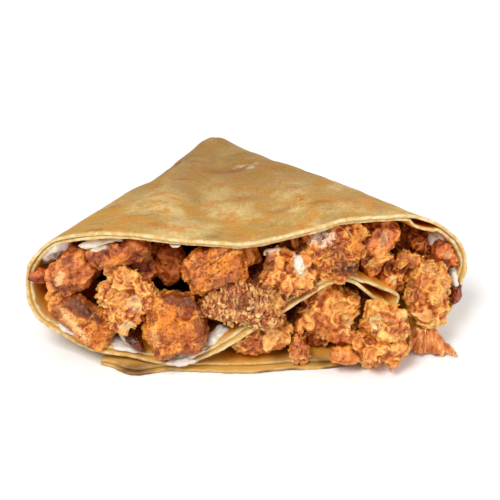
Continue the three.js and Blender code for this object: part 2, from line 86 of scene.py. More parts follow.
# The rolled sheet's middle line round the mouth: x, z, turn, gap and set-back of the inner rim
MOUTH = np.array([
    (-62.8, 1.6, 0, 0.1, 1), (-53, 1.6, 0, 0.2, 2), (-42, 1.6, 0, 0.2, 2), (-26, 1.6, 0, 0.5, 3),
    (-8, 1.6, 0, 0.3, 4), (12, 1.6, 0, 0.4, 4.5), (32, 1.6, 0, 0.4, 4), (50, 1.6, 0, 0.2, 3),
    (66, 1.7, 0, 0, 2), (76, 3, 0.1, 0, 2), (83, 6.8, 0.3, 0, 2), (88, 12.8, 0.6, 0, 2),
    (91.6, 19.5, 0.9, 0, 2), (93, 27, 1.1, 0, 2), (93, 34, 1.3, 0, 2), (90, 42.5, 1.6, 0, 2),
    (84, 50, 1.8, 0, 2), (78.5, 54.6, 2, 1.6, 2), (73, 58, 2, 2.2, 2), (67, 60.6, 2, 0.2, 2),
    (58, 62.6, 2, 0, 2), (47, 64, 2, 0, 2), (37, 64.8, 2, 0, 2), (28, 63.4, 2, 0, 2),
    (18, 61.2, 2, 0, 3), (8, 59.8, 2, 0, 3), (-3, 58.8, 2, 0, 3), (-14, 59.6, 2, 0, 3),
    (-26, 60.6, 2, 0, 3), (-38, 61.8, 2, 0, 2), (-50, 62.3, 2, 0, 1), (-61, 61.4, 2, 0.3, 1),
    (-71, 59.4, 2, 0.7, 1), (-80, 56, 2, 0.5, 1), (-87, 50.6, 1.8, 0.2, 2), (-92, 43.5, 1.6, 0, 2),
    (-94.3, 35, 1.4, 0, 2), (-93.5, 27, 1.2, 0, 2), (-90, 20, 1.1, 0, 2), (-83, 14.8, 1, 0, 2),
    (-74, 10.8, 1, 0, 2), (-64, 8.3, 1, 0.2, 2), (-52, 6.8, 1, 0.4, 3), (-40, 5.6, 1, 0.2, 3),
    (-29, 5.5, 1, 0, 3), (-20, 8.6, 1, 0, 3), (-11, 14.2, 1, 0, 3), (-1, 20.8, 1, 0, 4),
    (9, 26.2, 1, 0, 4), (20, 33, 1, 0, 4), (29, 38.4, 1, 0, 2), (37, 40.8, 1, 0, 0),
    (43.5, 39.4, 1, 0.2, 0), (49, 34.4, 1, 2, 0), (54.5, 28.4, 1, 3.8, 0), (61, 23.6, 1, 3.8, 0),
], float)
LAST_ROW = len(MOUTH) - 1

# Where the lowest turn reaches further out: x, half width and by how much
RIM_LOBES = ((-49, 8, 4), (40, 22, 4.5), (2, 26, 1.5))

# Swells and hollows of the top: x at the mouth, distance from the tip, half sizes and height
SWELLS = (
    (-42, 150, 11, 42, 2.2), (-22, 142, 8, 36, -1.8), (2, 128, 12, 40, 1.6), (24, 150, 9, 34, -0.7),
    (45, 160, 14, 30, 1), (52, 92, 12, 16, -1.4), (-64, 118, 8, 16, -1.6), (-66, 84, 12, 18, 1.2),
    (8, 78, 24, 9, -1.1), (66, 130, 12, 30, 0.9), (-82, 71, 13, 28, -5.8), (76, 44, 14, 26, -3),
    (-60, 18, 40, 12, 4),
)

# Fine sizes that only the looks have
LOOP_STEP = 1.1
RING_STEP = 2.2
END_STEPS = 7
RIM_FRAY = 0.35
RIM_WIDTH = 2.6
LAYER_STEP = 0.7
WRINKLE = 0.3
ROW_NUDGE = 0.02
RADIUS_NUDGE = 0.5
LOWEST_FOOD = 0.15

# The rounding of the tip, in shares of TIP_ROUNDING, and the steps of its mesh
TIP_STATIONS = (-0.058, -0.05, -0.03, 0, 0.05, 0.12, 0.25, 0.45, 0.7)
TIP_LEAD = 0.06
TIP_LOOP_STEP = 1.54
TIP_RING_STEP = 2.0

# A gap between these widths turns into an open pocket. Outside it the two layers are baked together
# at the rim, so that only a share of the gap and of the slit is left.
POCKET_GAP = (0.8, 1.4)
CLOSED_GAP = 0.3
CLOSED_SLIT = 0.25

# The rim's section: millimetres behind the rim, and the share of a layer's thickness
RIM_PROFILE = (
    (2.2, 1), (1, 1), (0.4, 0.97), (0.1, 0.85), (0, 0.62), (0, 0.38),
    (0.1, 0.15), (0.4, 0.03), (1, 0), (2.5, 0), (6, 0), (13, 0), (SLIT_DEPTH, 0),
)

# Browned patches on the top: x, y, half width, half depth and strength
BROWNED = (
    (-10, 29, 15, 3.5, 0.8), (-27.6, 43, 9, 4, 0.7), (-34, 5, 7, 2.5, 0.55), (-2.7, -25, 7, 5, 0.5),
    (-39, -74, 8, 2.5, 0.5), (-46, -61, 7, 1, 0.7), (-60, -40, 2.6, 1.2, 0.9),
    (-63.5, -80, 5, 1.4, 0.9), (-15, -83, 3.2, 1.6, 0.7), (-12, -76, 1, 0.8, 0.9),
    (29.6, -51, 6, 2.2, 0.7), (34, -63, 3.4, 1.8, 0.7), (22, -20, 9, 5, 0.45),
    (13.5, -50, 6, 3, 0.45), (8, -71, 3, 1.5, 0.4), (42, -46, 3, 1.5, 0.4), (71, -65, 7, 1, 0.6),
    (-30, 58, 8, 5, 0.4),
)

# Dabs of sauce on the top near the tip, and blisters that browned underneath, likewise
DABS = (
    (-4.9, 34.7, 2.4, 1.2, 0.9), (0.5, 29, 2, 2.4, 0.8), (-7.4, 32.6, 1.2, 0.7, 0.8),
    (3.4, 33.6, 1, 1.2, 0.7),
)
BLISTERS = ((-49.5, -98, 9, 3.4, 1), (33, -92, 10, 2.4, 0.8))

# The face of the filling leans back square to the camera, so marks are placed across it and up it.
CAMERA_ELEVATION = math.radians(32.5)
CAMERA_DISTANCE = 760.0
SENSOR = 36
LENS = 114.34
ACROSS = np.array([1, 0, 0])
FACE_UP = np.array([0, math.sin(CAMERA_ELEVATION), math.cos(CAMERA_ELEVATION)])
FACE_OUT = np.array([0, -math.cos(CAMERA_ELEVATION), math.sin(CAMERA_ELEVATION)])


def srgb(red, green, blue):
    """A colour given in everyday 0 to 255 values, as the linear values that shaders take."""
    share = np.array([red, green, blue], float) / 255
    return np.where(share <= 0.04045, share / 12.92, ((share + 0.055) / 1.055) ** 2.4)


def smooth(low, high, value):
    """Smoothly from 0 at low to 1 at high."""
    t = np.clip((value - low) / (high - low), 0, 1)
    return t * t * (3 - 2 * t)


# Large odd numbers that scatter the bits of whole-numbered points
SCATTER = (374761393, 668265263, 2246822519, 3266489917)


def lattice(cell, seed):
    """A random number from -1 to 1 for each whole-numbered point."""
    c = cell.astype(np.int64).astype(np.uint32)
    h = sum(c[..., k] * np.uint32(SCATTER[k]) for k in range(3))
    h = h + np.uint32(SCATTER[3] * (seed + 1) % 2**32)
    for shift, factor in ((15, SCATTER[2]), (13, SCATTER[3])):
        h = (h ^ (h >> np.uint32(shift))) * np.uint32(factor)
    h = h ^ (h >> np.uint32(16))
    return h.astype(np.float64) / 2**31 - 1


def noise(p, seed=0):
    """Smooth noise from -1 to 1 at points whose unit is one bump."""
    cell = np.floor(p)
    f = p - cell
    f = f * f * f * (f * (f * 6 - 15) + 10)
    total = np.zeros(len(p))
    for corner in itertools.product((0, 1), repeat=3):
        weight = np.prod(np.where(np.array(corner) == 1, f, 1 - f), axis=1)
        total += weight * lattice(cell + np.array(corner), seed)
    return total


def rough_noise(p, seed, octaves, ridged=False):
    """Noise with finer and finer bumps, or with sharp ridges."""
    total = np.zeros(len(p))
    for k in range(octaves):
        n = noise(p * 2.03**k + 7.1 * k, seed + 17 * k)
        total += (1 - 2.2 * np.abs(n) if ridged else n) * 0.55**k
    return total


def noise_vectors(p, seed):
    """Three independent smooth noises at each point."""
    return np.stack([noise(p, seed + 101 * k) for k in range(3)], axis=1)


def facets(p, seed, tilt, sharp):
    """The heights of random flat flakes that cover the points, with steep slopes between them."""
    cell = np.floor(p)
    total = np.zeros(len(p))
    weights = np.zeros(len(p))
    for offset in itertools.product((-1, 0, 1), repeat=3):
        c = cell + np.array(offset)
        jitter = np.stack([lattice(c, seed + k) for k in range(3)], axis=1)
        away = p - (c + 0.5 + 0.45 * jitter)
        slope = np.stack([lattice(c, seed + 4 + k) for k in range(3)], axis=1)
        weight = np.exp(-sharp * (away**2).sum(1))
        total += weight * (lattice(c, seed + 3) + tilt * (away * slope).sum(1))
        weights += weight
    return total / weights


def folds(p, seed):
    """Thin winding crests, from 0 between them to 1 on them."""
    return np.clip(1 - np.abs(noise(p, seed)) / 0.3, 0, 1) ** 2


# The crepe's shape

def mouth_at(u):
    """The mouth line's values at rows u, on a smooth curve through the rows."""
    i = np.minimum(np.floor(u).astype(int), LAST_ROW - 1)
    t = (u - i)[:, None]

    def row(k):
        return MOUTH[np.clip(k, 0, LAST_ROW)]

    def span(a, b):
        length = np.hypot(*(row(b) - row(a))[:, :2].T)
        return np.where(length == 0, 1, length)

    length = span(i, i + 1)
    before = length + np.where(i > 0, span(i - 1, i), 0)
    after = length + np.where(i + 2 <= LAST_ROW, span(i + 1, i + 2), 0)
    a, b = row(i), row(i + 1)
    leave = (b - row(i - 1)) * (length / before)[:, None]
    arrive = (row(i + 2) - a) * (length / after)[:, None]
    return (
        a * (2 * t**3 - 3 * t**2 + 1) + leave * (t**3 - 2 * t**2 + t)
        + b * (3 * t**2 - 2 * t**3) + arrive * (t**3 - t**2)
    )


def swell(x, r):
    """How far the top swells at the line of the mouth's x and distance r from the tip."""
    total = np.zeros(len(x))
    for sx, sr, width, length, out in SWELLS:
        total += out * np.exp(-(((x - sx) / width) ** 2) - ((r - sr) / length) ** 2)
    return total * np.sqrt(np.maximum(np.sin(np.pi * np.minimum(r / CREPE_RADIUS, 1)), 0))


def sheet_point(u, r):
    """The middle of the rolled sheet at mouth rows u and distances r from the tip."""
    x, z, level = mouth_at(u).T[:3]
    share = r / CREPE_RADIUS
    dx = x - TIP[0]
    dy = np.sqrt(CREPE_RADIUS**2 - dx**2 - (z - TIP[2]) ** 2)
    flat = SHEET / 2 + level * (SHEET + STACK_GAP)
    lift = share - SAG * np.sin(np.pi * np.sqrt(np.minimum(share, 1)))
    height = flat + (z - flat) * lift + smooth(*TOP_TURNS, level) * swell(x, r)
    height *= TIP_PRESS + (1 - TIP_PRESS) * smooth(0, ROLL_START, r)
    return np.stack([TIP[0] + dx * share, TIP[1] - dy * share, height], axis=1)


def unit(vectors):
    """The vectors, each made one long."""
    return vectors / np.maximum(np.linalg.norm(vectors, axis=1, keepdims=True), 1e-12)


def sheet_normal(u, r):
    """The outward side of the sheet at those places."""
    after, before = np.minimum(u + ROW_NUDGE, LAST_ROW), np.maximum(u - ROW_NUDGE, 0)
    along = sheet_point(after, r) - sheet_point(before, r)
    out = sheet_point(u, r + RADIUS_NUDGE) - sheet_point(u, r - RADIUS_NUDGE)
    return unit(np.cross(along, out))


def reach_at(u):
    """How far the sheet's outer rim is from the tip at mouth rows u."""
    wave = sum(np.sin(rate * u + 2 * rate) for rate in RIM_WAVES)
    x, _, level = mouth_at(u).T[:3]
    lobes = [out * np.exp(-(((x - middle) / width) ** 2)) for middle, width, out in RIM_LOBES]
    return CREPE_RADIUS + RIM_WAVE * wave + (1 - smooth(0, 0.2, level)) * np.max(lobes, axis=0)


def even_rows(step):
    """Mouth rows at even steps along the mouth line."""
    u = np.linspace(0, LAST_ROW, 20 * len(MOUTH))
    points = mouth_at(u)[:, :2]
    length = np.append(0, np.cumsum(np.hypot(*np.diff(points, axis=0).T)))
    return np.interp(np.linspace(0, length[-1], round(length[-1] / step)), length, u)


def wrinkled(p, normal, amount):
    """Points moved by the crepe's fine wrinkles and the uneven thickness of its batter."""
    broad = noise(p / 17, 3) + 0.6 * noise(p / np.array([6, 11, 6]), 4)
    fine = 0.35 * noise(p / 3.1, 5)
    return p + normal * (amount * (broad + fine))[:, None]


def bands(rings, count):
    """Quads that join rings of equal length."""
    j, i = np.meshgrid(np.arange(rings - 1), np.arange(count), indexing="ij")
    a = (j * count + i).ravel()
    b = (j * count + (i + 1) % count).ravel()
    return np.stack([a, b, b + count, a + count], axis=1)


class Skin:
    """Points, faces and masks of a mesh that is being put together."""

    def __init__(self):
        self.points = []
        self.faces = []
        self.masks = []
        self.total = 0

    def add(self, points, faces, **masks):
        self.points.append(points)
        self.faces.extend([corner + self.total for corner in face] for face in faces)
        self.masks.append(masks)
        self.total += len(points)

    def mask(self, name):
        return np.concatenate([m[name] for m in self.masks])


def rolled_sheet(skin):
    """The rolled sheet with its two layers, from ROLL_START to its frayed rim."""
    rows = even_rows(LOOP_STEP)
    turn = np.linspace(0, np.pi, END_STEPS + 2)[1:-1]
    u = np.concatenate([rows, np.full(END_STEPS, LAST_ROW), rows[::-1], np.zeros(END_STEPS)])
    flat = np.ones(len(rows))
    side = np.concatenate([flat, np.cos(turn), -flat, -np.cos(turn)])
    past = np.concatenate([0 * flat, np.sin(turn), 0 * flat, -np.sin(turn)])
    _, _, level, gap_wanted, back = mouth_at(u).T
    reach = reach_at(u) - np.where(side < 0, back, 0) * LAYER_STEP
    place = np.stack([u * 3.1, 40 + 9 * side, 0 * u], axis=1)
    reach = reach + RIM_FRAY * (noise(place, 21) + 0.7 * noise(place * 3.3, 22) - 0.5)
    rim_width = RIM_WIDTH + 1.1 * noise(place * 1.7, 23)
    pocket = smooth(*POCKET_GAP, gap_wanted)
    gap_wanted = gap_wanted * (CLOSED_GAP + (1 - CLOSED_GAP) * pocket)
    slit = SLIT / 2 * (CLOSED_SLIT + (1 - CLOSED_SLIT) * pocket)
    inner_rings = round((CREPE_RADIUS - ROLL_START) / RING_STEP)
    stations = [(share, None) for share in np.linspace(0, 1, inner_rings)[:-1]]
    profile = [(None, edge) for edge in RIM_PROFILE]
    points, rim, inside, radius = [], [], [], []
    start = ROLL_START - 2
    for share, edge in stations + profile:
        if edge is None:
            r, depth = start + (reach - RIM_PROFILE[0][0] - start) * share, 1
        else:
            r, depth = reach - edge[0], edge[1]
        gap = gap_wanted * smooth(CREPE_RADIUS - GAPE_START, CREPE_RADIUS - GAPE_END, r)
        outer = slit + depth * LAYER
        inner = outer + gap
        offset = np.where(side >= 0, side * outer, side * inner)
        normal = sheet_normal(u, r)
        middle = sheet_point(u, r)
        end = np.where(u > 0, 1, -1)
        along = unit(middle - sheet_point(np.clip(u - 0.05 * end, 0, LAST_ROW), r)) * (past != 0)[:, None]
        p = middle + normal * offset[:, None] + along * (np.abs(past) * (outer + gap * 0.25))[:, None]
        points.append(wrinkled(p, normal, WRINKLE))
        rim.append(smooth(1, 0, (reach - r) / rim_width) if depth > 0 else smooth(1.2, 0, reach - r))
        inside.append(np.maximum(smooth(0.1, -0.1, side), smooth(0.2, 0, depth * np.ones(len(u)))))
        radius.append(r)
    count = len(u)
    rings = len(points)
    faces = bands(rings, count).tolist()
    half = count // 2 - END_STEPS
    for first in (0, (rings - 1) * count):
        across = [first + count - END_STEPS - 1 - i for i in range(half)]
        for i in range(half - 1):
            faces.append([first + i, first + i + 1, across[i + 1], across[i]])
    skin.add(
        np.concatenate(points), faces, rim=np.concatenate(rim), inside=np.concatenate(inside),
        radius=np.concatenate(radius), level=np.tile(level, rings),
    )


def pressed_tip(skin):
    """The blunt tip, where all the turns are pressed together."""
    rows = even_rows(TIP_LOOP_STEP)
    u = rows[rows <= OUTER_END_ROW]
    rounded = TIP_ROUNDING * np.array(TIP_STATIONS) + TIP_START
    stations = np.concatenate([rounded, np.arange(TIP_START + TIP_ROUNDING, TIP_END + 0.1, TIP_RING_STEP)])
    points, radius = [], []
    for r in stations:
        tuck = TIP_TUCK * (r - ROLL_START) / (TIP_END - ROLL_START)
        out = SHEET / 2 + (TIP_SKIN if r <= ROLL_START else -tuck)
        here = np.full(len(u), r)
        normal = sheet_normal(u, here)
        ring = sheet_point(u, here) + normal * out
        share = min((r - TIP_START) / TIP_ROUNDING + TIP_LEAD, 1)
        size = math.sqrt(1 - (1 - share) ** 2)
        centre = ring.mean(0)
        points.append(wrinkled(centre + (ring - centre) * size, normal, WRINKLE * min(1, r / 30)))
        radius.append(here)
    rings = len(stations)
    nothing = np.zeros(rings * len(u))
    faces = bands(rings, len(u)).tolist() + [list(range(len(u)))[::-1]]
    skin.add(
        np.concatenate(points), faces, rim=nothing, inside=nothing,
        radius=np.concatenate(radius), level=np.tile(mouth_at(u)[:, 2], rings),
    )


def new_mesh(name, points, faces):
    """A mesh from points in millimetres."""
    mesh = bpy.data.meshes.new(name)
    mesh.from_pydata((np.asarray(points) * MM).tolist(), [], [list(map(int, f)) for f in faces])
    mesh.update()
    return mesh


def placed(name, data):
    """A new object in the scene."""
    obj = bpy.data.objects.new(name, data)
    bpy.context.scene.collection.objects.link(obj)
    return obj


def new_object(name, mesh, material):
    """A smooth-shaded object of one material that rides the part's body."""
    mesh.shade_smooth()
    mesh.materials.append(material)
    obj = placed(name, mesh)
    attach(obj, "root")
    return obj


def set_mask(mesh, name, values):
    """Keeps a value for each point of a mesh, for its material to read."""
    mesh.attributes.new(name, "FLOAT", "POINT").data.foreach_set("value", values.astype(np.float32))


def spots(points, rows):
    """How strongly each point is marked by spots with uneven edges."""
    marked = np.zeros(len(points))
    for x, y, width, depth, strength in rows:
        wobble = points + 0.22 * min(width, 8) * noise_vectors(points / 3.5, 31)
        spot = np.exp(-(((wobble[:, 0] - x) / width) ** 2 + ((wobble[:, 1] - y) / depth) ** 2) ** 1.3)
        marked = np.maximum(marked, strength * spot)
    return marked


def make_crepe(material):
    """The rolled crepe, with the masks that its material is mixed by."""
    skin = Skin()
    rolled_sheet(skin)
    pressed_tip(skin)
    points = np.concatenate(skin.points)
    points[:, 2] = np.maximum(points[:, 2], 0)
    obj = new_object("crepe_batter", new_mesh("crepe_batter", points, skin.faces), material)
    level, radius, inside = skin.mask("level"), skin.mask("radius"), skin.mask("inside")
    height, outside = points[:, 2], 1 - inside
    top = smooth(1.2, 1.9, level) * outside
    under = (1 - smooth(0.4, 1.2, level)) * smooth(3.4, 0.4, height) * outside
    scorched = under * smooth(-0.25, 0.35, noise(points / np.array([9, 5, 5]), 41))
    blistered = spots(points, BLISTERS) * smooth(4.5, 2.5, height)
    masks = {
        "browned": spots(points, BROWNED) * top,
        "dabs": spots(points, DABS) * top,
        "rim": skin.mask("rim"),
        "inside": inside,
        "lip": inside * smooth(193, 199, radius),
        # Painted shade low down near the floor, towards the rim
        "low": smooth(9, 4, height) * smooth(150, 185, radius),
        # Darker towards the tip: painted shade where the top turns away from the light
        "back": smooth(185, 60, radius) * outside,
        "scorched": np.maximum(scorched, blistered),
    }
    for name, values in masks.items():
        set_mask(obj.data, name, values)
    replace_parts(obj, "crepe")


# Sauce on the inner side of the crepe: row round the mouth, distance from the tip, half its length
# in rows, half its width and its height in millimetres
SMEARS = {
    "smear_low_left": (39.3, 196, 0.62, 3.4, 1.6),
    "smear_floor": (41.7, 193.5, 0.7, 4.6, 1.7),
    "smear_low_centre": (45.6, 191.5, 0.85, 5.0, 3.2),
    "smear_foot": (44.3, 197.6, 0.85, 2.8, 2.2),
    "smear_left_wall": (34.2, 189, 1.3, 9.0, 4.0),
    "smear_far_left": (35.8, 197.5, 0.3, 1.7, 0.9),
    "smear_right_top": (15.1, 187, 0.55, 6.0, 3.0),
    "smear_right_low": (12.8, 194, 0.7, 3.0, 2.0),
    "smear_top_middle": (26.4, 188, 0.9, 4.5, 1.6),
}
SMEAR_SIDES = 72
SMEAR_RINGS = 14
SMEAR_SUNK = 0.3
SMEAR_BOTTOM = 0.6
SAUCE_WETNESS = 0.6


def make_smear(name, material, seed):
    """A soft heap of sauce with an uneven outline that lies on the inner side of the crepe."""
    row, distance, half_row, half_width, height = SMEARS[name]
    count = SMEAR_SIDES
    angle = np.linspace(0, 2 * np.pi, count, endpoint=False)
    round_it = np.stack([np.cos(angle), np.sin(angle), 0 * angle + seed], axis=1)
    outline = 1 + 0.34 * noise(round_it * 1.3, 81) + 0.16 * noise(round_it * 3.1, 82)
    share = np.sin(np.linspace(0.02, 0.5, SMEAR_RINGS) * np.pi)
    place = share[:, None, None] * (outline[:, None] * round_it[:, :2])[None]
    u = np.clip(row + half_row * place[..., 0].ravel(), 0, LAST_ROW)
    r = np.minimum(distance + half_width * place[..., 1].ravel(), CREPE_RADIUS + 1)
    lumps = np.stack([u * 3.0, r / 2.6, 0 * u + seed], axis=1)
    thick = height * np.sqrt(1 - np.repeat(share, count) ** 2) * (1 + 0.45 * noise(lumps, 83)) - SMEAR_SUNK
    sheet, normal = sheet_point(u, r), sheet_normal(u, r)
    under = sheet[-count:] - normal[-count:] * (SHEET / 2 - SMEAR_BOTTOM)
    points = np.concatenate([sheet - normal * (SHEET / 2 + thick)[:, None], under])
    top = list(range(count))
    bottom = [SMEAR_RINGS * count + i for i in top[::-1]]
    faces = bands(SMEAR_RINGS + 1, count)[:, ::-1].tolist() + [top, bottom]
    color = np.tile(srgb(*PAINTS["sauce"]), (len(points), 1))
    wet = np.full(len(points), SAUCE_WETNESS)
    finished_piece(new_mesh(name, points, faces), name, material, color, wet)


# Materials

# The colour sockets of a Mix node, which share their names with others: A, B and the result
MIX_A = 6
MIX_B = 7
MIX_RESULT = 2


class Shader:
    """A material with a short way to add nodes to it."""

    def __init__(self, name):
        self.material = bpy.data.materials.new(name)
        self.material.use_nodes = True
        self.tree = self.material.node_tree
        self.principled = self.tree.nodes["Principled BSDF"]
        self.place = self.tree.nodes.new("ShaderNodeTexCoord").outputs["Object"]

    def join(self, source, target):
        """Links a socket, or sets a value or a colour."""
        if isinstance(source, bpy.types.NodeSocket):
            self.tree.links.new(source, target)
        elif target.type == "RGBA":
            target.default_value = (*source, 1)
        else:
            target.default_value = source

    def new(self, kind, **inputs):
        """A new node with what its named inputs are joined to."""
        node = self.tree.nodes.new("ShaderNode" + kind)
        for name, source in inputs.items():
            self.join(source, node.inputs[name.replace("_", " ")])
        return node

    def noise(self, size, detail=4, roughness=0.55, stretch=None):
        """Noise whose bumps have the given size in millimetres, from 0 to 1."""
        place = self.place
        if stretch:
            scaled = self.new("VectorMath")
            scaled.operation = "MULTIPLY"
            self.join(place, scaled.inputs[0])
            self.join(stretch, scaled.inputs[1])
            place = scaled.outputs[0]
        node = self.new("TexNoise", Vector=place, Scale=1 / (size * MM), Detail=detail, Roughness=roughness)
        return node.outputs["Fac"]

    def mask(self, name, output="Fac"):
        """What the mesh keeps for each point under the name."""
        node = self.new("Attribute")
        node.attribute_name = name
        return node.outputs[output]

    def ramp(self, source, low, high, to_low=0.0, to_high=1.0):
        """Smoothly from one value to another while the source goes from low to high."""
        node = self.new("MapRange", Value=source, From_Min=low, From_Max=high, To_Min=to_low, To_Max=to_high)
        node.interpolation_type = "SMOOTHSTEP"
        return node.outputs["Result"]

    def math(self, operation, a, b):
        node = self.new("Math")
        node.operation = operation
        self.join(a, node.inputs[0])
        self.join(b, node.inputs[1])
        return node.outputs[0]

    def mix(self, share, a, b, blend="MIX"):
        node = self.new("Mix", Factor=share)
        node.data_type = "RGBA"
        node.blend_type = blend
        self.join(a, node.inputs[MIX_A])
        self.join(b, node.inputs[MIX_B])
        return node.outputs[MIX_RESULT]

    def bump(self, *layers):
        """Relief from layers of (height, depth in millimetres)."""
        normal = {}
        for height, depth in layers:
            node = self.new("Bump", Distance=depth * MM, Height=height, **normal)
            normal = {"Normal": node.outputs["Normal"]}
        self.join(normal["Normal"], self.principled.inputs["Normal"])

    def surface(self, color, roughness, subsurface=0.0, radius=(1, 1, 1), specular=0.5):
        """The finished material, with light going in as far as the radius in millimetres."""
        put = self.principled.inputs
        self.join(color, put["Base Color"])
        self.join(roughness, put["Roughness"])
        put["Subsurface Weight"].default_value = subsurface
        put["Subsurface Radius"].default_value = radius
        put["Subsurface Scale"].default_value = MM
        put["Specular IOR Level"].default_value = specular
        return self.material


def crepe_material():
    """Pale batter, mottled and stained with brown, dry and pale at its rim, amber inside partly from oil and
    partly as painted bounce light, with painted shade towards the tip and near the floor.
    """
    s = Shader("baked_batter")
    pale, khaki = srgb(218, 192, 128), srgb(184, 144, 64)
    gold, brown = srgb(204, 136, 34), srgb(150, 80, 26)
    broad = s.ramp(s.noise(22, 4, stretch=(1, 0.55, 1)), 0.4, 0.64)
    color = s.mix(broad, khaki, pale)
    veil = s.ramp(s.noise(16, 4, 0.6, stretch=(1, 0.5, 1)), 0.48, 0.66, 0, 0.4)
    color = s.mix(veil, color, srgb(156, 134, 88))
    mottle = s.ramp(s.noise(8, 6, 0.7, stretch=(0.8, 0.55, 1)), 0.46, 0.62, 0, 0.85)
    color = s.mix(mottle, color, gold)
    # Darker towards the tip: painted shade where the top turns away from the light
    back = s.math("MULTIPLY", s.mask("back"), 0.7)
    color = s.mix(back, color, srgb(146, 106, 42))
    stains = s.ramp(s.noise(4.5, 6, 0.72, stretch=(0.7, 0.6, 1)), 0.56, 0.68, 0, 0.6)
    color = s.mix(stains, color, srgb(174, 104, 30))
    freckles = s.ramp(s.noise(1.4, 3, 0.6), 0.68, 0.76, 0, 0.7)
    color = s.mix(freckles, color, srgb(150, 88, 34))
    grain = s.ramp(s.noise(0.9, 4, 0.75), 0.3, 0.7)
    color = s.mix(0.42, color, s.mix(grain, srgb(90, 74, 50), srgb(238, 228, 206)), "OVERLAY")
    patch = s.math("MULTIPLY", s.mask("browned"), s.ramp(s.noise(2.6, 4, 0.65), 0.3, 0.6, 0.4, 1.2))
    color = s.mix(patch, color, brown)
    dabs = s.math("MULTIPLY", s.mask("dabs"), s.ramp(s.noise(1.6, 4, 0.6), 0.42, 0.52))
    color = s.mix(dabs, color, srgb(236, 224, 196))
    # Amber inside: partly oil soaked into the batter, partly painted warm bounce light from the filling
    inside = s.mix(s.ramp(s.noise(7, 4), 0.35, 0.7), srgb(228, 132, 10), srgb(238, 164, 44))
    color = s.mix(s.mask("inside"), color, inside)
    color = s.mix(s.math("MULTIPLY", s.mask("lip"), 0.8), color, srgb(222, 184, 104))
    cream = s.mix(s.ramp(s.noise(2.6, 4, 0.6), 0.35, 0.65), srgb(226, 206, 160), srgb(206, 170, 98))
    color = s.mix(s.mask("rim"), color, cream)
    # Painted shade low down near the floor
    color = s.mix(s.math("MULTIPLY", s.mask("low"), 0.5), color, srgb(194, 144, 58))
    color = s.mix(s.math("MULTIPLY", s.mask("scorched"), 0.85), color, srgb(84, 30, 10))
    roughness = s.ramp(s.noise(9, 3), 0.3, 0.7, 0.5, 0.7)
    s.bump((s.noise(5, 4), 0.4), (s.noise(0.9, 5, 0.7), 0.2))
    return s.surface(color, roughness, 0.3, (2.6, 1.2, 0.4), 0.2)


# The painted materials of the slots: name, roughness, grain, light in the depth and specular
PAINTED = {
    "crusty": ("fried_crust", 0.46, 0.35, 0.12, 0.4),
    "grilled": ("grilled_meat", 0.36, 0.3, 0.15, 0.35),
    "flaky": ("flaky_batter", 0.36, 0.28, 0.2, 0.45),
    "core": ("filling_in_shade", 0.6, 0.3, 0.0, 0.2),
    "burnt": ("dark_glaze", 0.22, 0.2, 0.05, 0.5),
    "sauce": ("white_sauce", 0.24, 0.06, 0.35, 0.5),
}
WET_ROUGHNESS = 0.2


def painted_material(name, roughness, grain, subsurface, specular):
    """Food whose colour is painted on its mesh, with fine grain and relief on top."""
    s = Shader(name)
    fine = s.noise(0.8, 5, 0.7)
    speck = s.mix(s.ramp(fine, 0.3, 0.7), srgb(90, 50, 34), srgb(255, 246, 226))
    color = s.mix(grain, s.mask("paint", "Color"), speck, "OVERLAY")
    shine = s.mix(s.mask("wet"), (roughness,) * 3, (WET_ROUGHNESS,) * 3)
    s.bump((s.noise(1.6, 4, 0.6), 0.22), (fine, 0.1))
    return s.surface(color, shine, subsurface, (1.6, 0.6, 0.25), specular)
